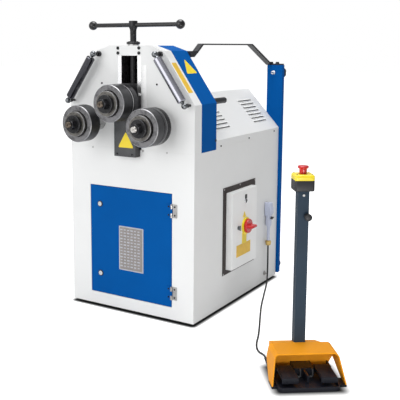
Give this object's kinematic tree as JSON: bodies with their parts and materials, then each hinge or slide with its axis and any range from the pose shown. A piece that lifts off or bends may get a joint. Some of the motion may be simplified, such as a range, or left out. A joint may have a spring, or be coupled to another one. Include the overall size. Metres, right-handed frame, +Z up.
{
  "type": "ring roller",
  "caption": "Floor-standing three-roll ring bending machine with a screw-lowered upper roll, a door, a side control box and a corded foot-switch stand.",
  "frame": {"origin": "centre of the cabinet's base on the floor", "axes": "+Z up, -Y towards the operator and the rolls, +X towards the control box"},
  "size_m": [1.3677, 1.2502, 1.274],
  "materials": {
    "white_paint": "light grey-white powder coat, slight texture",
    "blue_paint": "blue powder coat, low gloss",
    "black_paint": "black enamel",
    "ground_steel": "ground and lightly oiled",
    "satin_steel": "satin machined",
    "oxide_steel": "black oxide",
    "plated_steel": "bright plated",
    "dark_plate": "dark grey enamel",
    "motor_enamel": "grey enamel on castings",
    "bronze_nut": "black machined",
    "brown_paint": "dark brown enamel",
    "lid_paint": "light grey-white powder coat",
    "yellow_plastic": "smooth moulded",
    "red_plastic": "smooth moulded",
    "pale_plastic": "smooth moulded, pale blue-grey",
    "black_plastic": "fine matt texture",
    "brass_fitting": "machined, bright",
    "cord_jacket": "matt jacket",
    "orange_shell": "moulded shell with a low gloss",
    "slate_paint": "dark slate enamel"
  },
  "bodies": {
    "frame": {"base_plinth": "black_paint", "cabinet_shell": "white_paint", "door_hinge_upper": "plated_steel", "door_hinge_lower": "plated_steel", "head_front_cover": "white_paint", "front_bearing_plate": "satin_steel", "rear_bearing_plate": "satin_steel", "slide_gib_left": "satin_steel", "slide_gib_right": "satin_steel", "crosshead_block": "satin_steel", "spindle_nut": "bronze_nut", "head_side_cover": "blue_paint", "rear_hood": "white_paint", "lower_left_bearing": "satin_steel", "lower_right_bearing": "satin_steel", "side_link_left": "satin_steel", "side_link_right": "satin_steel", "gearbox_housing": "motor_enamel", "drive_motor": "motor_enamel", "control_box": "brown_paint", "outlet_housing": "pale_plastic", "cord_plug": "pale_plastic", "cord_gland": "brass_fitting", "foot_cord": "cord_jacket", "rear_post": "blue_paint", "rear_bow": "black_paint", "stand_base": "black_plastic", "stand_guard": "orange_shell", "stand_column": "slate_paint", "stop_case": "black_plastic", "stop_lid": "yellow_plastic", "cord_relief": "black_plastic"},
    "door": {"door_panel": "blue_paint"},
    "latch_upper": {"door_latch_upper": "plated_steel"},
    "latch_lower": {"door_latch_lower": "plated_steel"},
    "lower_left": {"lower_left_shaft": "satin_steel", "lower_left_roll": "ground_steel", "lower_left_nut": "oxide_steel"},
    "lower_right": {"lower_right_shaft": "satin_steel", "lower_right_roll": "ground_steel", "lower_right_nut": "oxide_steel"},
    "pinion": {"drive_pinion": "satin_steel"},
    "carriage": {"slide_block": "satin_steel", "slide_cover_plate": "dark_plate", "upper_bearing": "satin_steel"},
    "upper_set": {"upper_shaft": "satin_steel", "upper_roll": "ground_steel", "upper_nut": "oxide_steel"},
    "spindle": {"spindle": "oxide_steel"},
    "handle": {"handle_bar": "black_plastic"},
    "lid": {"control_lid": "lid_paint", "switch_collar": "yellow_plastic"},
    "main_switch": {"switch_handle": "red_plastic"},
    "lid_lock": {"lid_lock": "plated_steel"},
    "plug_lever": {"plug_lever": "black_plastic"},
    "rear_knob": {"rear_knob": "black_plastic"},
    "pedal_left": {"pedal_left": "black_plastic"},
    "pedal_right": {"pedal_right": "black_plastic"},
    "column_knob": {"column_knob": "black_plastic"},
    "stop_button": {"stop_button": "red_plastic"}
  },
  "joints": [
    {"name": "door_swing", "type": "hinge", "parent": "frame", "child": "door", "pos_m": [0.213, -0.4208, 0.31], "axis": [0, 0, 1], "range_deg": [0, 105]},
    {"name": "latch_upper_turn", "type": "hinge", "parent": "door", "child": "latch_upper", "pos_m": [-0.162, -0.416, 0.474], "axis": [0, 1, 0], "range_deg": [0, 90]},
    {"name": "latch_lower_turn", "type": "hinge", "parent": "door", "child": "latch_lower", "pos_m": [-0.162, -0.416, 0.157], "axis": [0, 1, 0], "range_deg": [0, 90]},
    {"name": "lower_right_spin", "type": "hinge", "parent": "frame", "child": "lower_right", "pos_m": [0.165, -0.416, 0.843], "axis": [0, 1, 0], "continuous": true},
    {"name": "lower_left_spin", "type": "hinge", "parent": "frame", "child": "lower_left", "pos_m": [-0.165, -0.416, 0.843], "axis": [0, 1, 0], "continuous": true},
    {"name": "pinion_spin", "type": "hinge", "parent": "frame", "child": "pinion", "pos_m": [0, -0.416, 0.87461], "axis": [0, 1, 0], "continuous": true},
    {"name": "spindle_turn", "type": "hinge", "parent": "carriage", "child": "spindle", "pos_m": [0, -0.386, 1.2545], "axis": [0, 0, 1], "range_deg": [-2880, 7920]},
    {"name": "carriage_lift", "type": "slide", "parent": "frame", "child": "carriage", "axis": [0, 0, 1], "range_m": [-0.04, 0.11]},
    {"name": "upper_roll_spin", "type": "hinge", "parent": "carriage", "child": "upper_set", "pos_m": [0, -0.416, 0.934], "axis": [0, 1, 0], "continuous": true},
    {"name": "handle_slide", "type": "slide", "parent": "spindle", "child": "handle", "axis": [1, 0, 0], "range_m": [-0.192, 0.172]},
    {"name": "lid_swing", "type": "hinge", "parent": "frame", "child": "lid", "pos_m": [0.3306, 0.118, 0.352], "axis": [0, 0, 1], "range_deg": [0, 105]},
    {"name": "main_switch_turn", "type": "hinge", "parent": "lid", "child": "main_switch", "pos_m": [0.36, -0.005, 0.358], "axis": [1, 0, 0], "range_deg": [0, 90]},
    {"name": "lid_lock_turn", "type": "hinge", "parent": "lid", "child": "lid_lock", "pos_m": [0.352, -0.077, 0.361], "axis": [1, 0, 0], "range_deg": [0, 90]},
    {"name": "plug_lever_turn", "type": "hinge", "parent": "frame", "child": "plug_lever", "pos_m": [0.354, 0.28, 0.338], "axis": [1, 0, 0], "range_deg": [0, 90]},
    {"name": "rear_knob_turn", "type": "hinge", "parent": "frame", "child": "rear_knob", "pos_m": [0.297, 0.464, 1.037], "axis": [0, 1, 0], "continuous": true},
    {"name": "pedal_left_press", "type": "hinge", "parent": "frame", "child": "pedal_left", "pos_m": [0.82907, -0.6488, 0.029], "axis": [0.809, 0.5878, 0], "range_deg": [0, 5], "stiffness_Nm_per_rad": 8, "springref_deg": -8.59},
    {"name": "pedal_right_press", "type": "hinge", "parent": "frame", "child": "pedal_right", "pos_m": [0.9391, -0.56886, 0.029], "axis": [0.809, 0.5878, 0], "range_deg": [0, 5], "stiffness_Nm_per_rad": 8, "springref_deg": -8.59},
    {"name": "column_knob_turn", "type": "hinge", "parent": "frame", "child": "column_knob", "pos_m": [0.86426, -0.55772, 0.57], "axis": [-0.5878, 0.809, 0], "continuous": true},
    {"name": "stop_press", "type": "slide", "parent": "frame", "child": "stop_button", "axis": [0, 0, -1], "range_m": [0, 0.005]}
  ],
  "couplings": [
    {"joint": "lower_left_spin", "follows": "lower_right_spin", "ratio": 1},
    {"joint": "pinion_spin", "follows": "lower_right_spin", "ratio": -1.5455},
    {"joint": "carriage_lift", "follows": "spindle_turn", "m_per_rad": 0.00079577}
  ]
}
